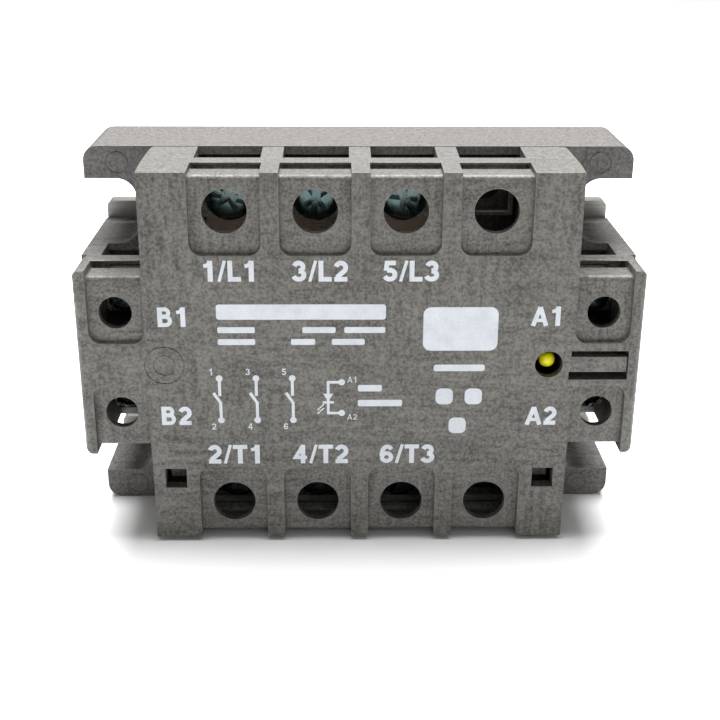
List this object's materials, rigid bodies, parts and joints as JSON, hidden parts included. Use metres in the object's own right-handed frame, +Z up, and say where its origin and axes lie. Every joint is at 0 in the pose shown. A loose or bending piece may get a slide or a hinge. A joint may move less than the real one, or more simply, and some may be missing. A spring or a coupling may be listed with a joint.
{
  "type": "solid state relay",
  "caption": "Panel-mount three-phase solid state relay: grey housing with wire windows, captive terminal screws behind driver holes, status lamp and open-slot metal base.",
  "frame": {"origin": "centre of the base plate's mounting face, midway between the four screw slots", "axes": "+Y out of the mounting face towards the heatsink, -Y out of the front with the terminals, +Z up with the relay standing on its lower long side, +X to the right seen from the front"},
  "size_m": [0.1032, 0.0407, 0.0732],
  "materials": {
    "cover_plastic": "fine spark-eroded grain",
    "frame_plastic": "fine spark-eroded grain",
    "nickel_plate": "dull nickel plating, fine brushed",
    "gel": "clear soft silicone",
    "ceramic": "fired white alumina",
    "copper": "bare copper",
    "silicon": "passivated chip",
    "tinned_metal": "bright tin plating",
    "component_body": "dipped epoxy",
    "copper_strap": "tinned copper strip",
    "zinc_screw": "blue passivated zinc",
    "board": "green solder mask",
    "white_package": "moulded epoxy",
    "yellow_lens": "diffused lens"
  },
  "bodies": {
    "root": {"cover": "cover_plastic", "base_frame": "frame_plastic", "base_plate": "nickel_plate", "potting_gel": "gel", "ceramic_1": "ceramic", "ceramic_2": "ceramic", "ceramic_3": "ceramic", "copper_pads_1": "copper", "copper_pads_2": "copper", "copper_pads_3": "copper", "thyristors_1": "silicon", "thyristors_2": "silicon", "thyristors_3": "silicon", "gate_pins": "tinned_metal", "temperature_sensor": "component_body", "power_nuts": "zinc_screw", "control_nuts": "zinc_screw", "circuit_board": "board", "optocouplers": "white_package", "varistors": "component_body", "snubber_resistors": "component_body", "snubber_capacitors": "component_body", "input_capacitor": "component_body", "status_lamp": "yellow_lens", "lamp_leads": "tinned_metal", "power_strap_l1": "copper_strap", "power_strap_l2": "copper_strap", "power_strap_l3": "copper_strap", "power_strap_t1": "copper_strap", "power_strap_t2": "copper_strap", "power_strap_t3": "copper_strap", "control_strip_b1": "tinned_metal", "control_strip_b2": "tinned_metal", "control_strip_a1": "tinned_metal", "control_strip_a2": "tinned_metal"},
    "power_clamp_l1": {"power_clamp_l1": "tinned_metal"},
    "power_screw_l1": {"power_screw_l1": "zinc_screw"},
    "power_clamp_l2": {"power_clamp_l2": "tinned_metal"},
    "power_screw_l2": {"power_screw_l2": "zinc_screw"},
    "power_clamp_l3": {"power_clamp_l3": "tinned_metal"},
    "power_screw_l3": {"power_screw_l3": "zinc_screw"},
    "power_clamp_t1": {"power_clamp_t1": "tinned_metal"},
    "power_screw_t1": {"power_screw_t1": "zinc_screw"},
    "power_clamp_t2": {"power_clamp_t2": "tinned_metal"},
    "power_screw_t2": {"power_screw_t2": "zinc_screw"},
    "power_clamp_t3": {"power_clamp_t3": "tinned_metal"},
    "power_screw_t3": {"power_screw_t3": "zinc_screw"},
    "control_clamp_b1": {"control_clamp_b1": "tinned_metal"},
    "control_screw_b1": {"control_screw_b1": "zinc_screw"},
    "control_clamp_b2": {"control_clamp_b2": "tinned_metal"},
    "control_screw_b2": {"control_screw_b2": "zinc_screw"},
    "control_clamp_a1": {"control_clamp_a1": "tinned_metal"},
    "control_screw_a1": {"control_screw_a1": "zinc_screw"},
    "control_clamp_a2": {"control_clamp_a2": "tinned_metal"},
    "control_screw_a2": {"control_screw_a2": "zinc_screw"}
  },
  "joints": [
    {"name": "clamp_lift_l1", "type": "slide", "parent": "root", "child": "power_clamp_l1", "axis": [0, -1, 0], "range_m": [0, 0.005]},
    {"name": "screw_turn_l1", "type": "hinge", "parent": "power_clamp_l1", "child": "power_screw_l1", "pos_m": [-0.024, -0.0267, 0.0286], "axis": [0, -1, 0], "range_deg": [0, 2250]},
    {"name": "clamp_lift_l2", "type": "slide", "parent": "root", "child": "power_clamp_l2", "axis": [0, -1, 0], "range_m": [0, 0.005]},
    {"name": "screw_turn_l2", "type": "hinge", "parent": "power_clamp_l2", "child": "power_screw_l2", "pos_m": [-0.008, -0.0267, 0.0286], "axis": [0, -1, 0], "range_deg": [0, 2250]},
    {"name": "clamp_lift_l3", "type": "slide", "parent": "root", "child": "power_clamp_l3", "axis": [0, -1, 0], "range_m": [0, 0.005]},
    {"name": "screw_turn_l3", "type": "hinge", "parent": "power_clamp_l3", "child": "power_screw_l3", "pos_m": [0.008, -0.0267, 0.0286], "axis": [0, -1, 0], "range_deg": [0, 2250]},
    {"name": "clamp_lift_t1", "type": "slide", "parent": "root", "child": "power_clamp_t1", "axis": [0, -1, 0], "range_m": [0, 0.005]},
    {"name": "screw_turn_t1", "type": "hinge", "parent": "power_clamp_t1", "child": "power_screw_t1", "pos_m": [-0.024, -0.0267, -0.0286], "axis": [0, -1, 0], "range_deg": [0, 2250]},
    {"name": "clamp_lift_t2", "type": "slide", "parent": "root", "child": "power_clamp_t2", "axis": [0, -1, 0], "range_m": [0, 0.005]},
    {"name": "screw_turn_t2", "type": "hinge", "parent": "power_clamp_t2", "child": "power_screw_t2", "pos_m": [-0.008, -0.0267, -0.0286], "axis": [0, -1, 0], "range_deg": [0, 2250]},
    {"name": "clamp_lift_t3", "type": "slide", "parent": "root", "child": "power_clamp_t3", "axis": [0, -1, 0], "range_m": [0, 0.005]},
    {"name": "screw_turn_t3", "type": "hinge", "parent": "power_clamp_t3", "child": "power_screw_t3", "pos_m": [0.008, -0.0267, -0.0286], "axis": [0, -1, 0], "range_deg": [0, 2250]},
    {"name": "clamp_lift_b1", "type": "slide", "parent": "root", "child": "control_clamp_b1", "axis": [0, -1, 0], "range_m": [0, 0.003]},
    {"name": "screw_turn_b1", "type": "hinge", "parent": "control_clamp_b1", "child": "control_screw_b1", "pos_m": [-0.0443, -0.0295, 0.0098], "axis": [0, -1, 0], "range_deg": [0, 2160]},
    {"name": "clamp_lift_b2", "type": "slide", "parent": "root", "child": "control_clamp_b2", "axis": [0, -1, 0], "range_m": [0, 0.003]},
    {"name": "screw_turn_b2", "type": "hinge", "parent": "control_clamp_b2", "child": "control_screw_b2", "pos_m": [-0.0443, -0.0295, -0.0098], "axis": [0, -1, 0], "range_deg": [0, 2160]},
    {"name": "clamp_lift_a1", "type": "slide", "parent": "root", "child": "control_clamp_a1", "axis": [0, -1, 0], "range_m": [0, 0.003]},
    {"name": "screw_turn_a1", "type": "hinge", "parent": "control_clamp_a1", "child": "control_screw_a1", "pos_m": [0.0443, -0.0295, 0.0098], "axis": [0, -1, 0], "range_deg": [0, 2160]},
    {"name": "clamp_lift_a2", "type": "slide", "parent": "root", "child": "control_clamp_a2", "axis": [0, -1, 0], "range_m": [0, 0.003]},
    {"name": "screw_turn_a2", "type": "hinge", "parent": "control_clamp_a2", "child": "control_screw_a2", "pos_m": [0.0443, -0.0295, -0.0098], "axis": [0, -1, 0], "range_deg": [0, 2160]}
  ],
  "couplings": [
    {"joint": "screw_turn_l1", "follows": "clamp_lift_l1", "rad_per_m": 7854},
    {"joint": "screw_turn_l2", "follows": "clamp_lift_l2", "rad_per_m": 7854},
    {"joint": "screw_turn_l3", "follows": "clamp_lift_l3", "rad_per_m": 7854},
    {"joint": "screw_turn_t1", "follows": "clamp_lift_t1", "rad_per_m": 7854},
    {"joint": "screw_turn_t2", "follows": "clamp_lift_t2", "rad_per_m": 7854},
    {"joint": "screw_turn_t3", "follows": "clamp_lift_t3", "rad_per_m": 7854},
    {"joint": "screw_turn_b1", "follows": "clamp_lift_b1", "rad_per_m": 12566},
    {"joint": "screw_turn_b2", "follows": "clamp_lift_b2", "rad_per_m": 12566},
    {"joint": "screw_turn_a1", "follows": "clamp_lift_a1", "rad_per_m": 12566},
    {"joint": "screw_turn_a2", "follows": "clamp_lift_a2", "rad_per_m": 12566}
  ]
}
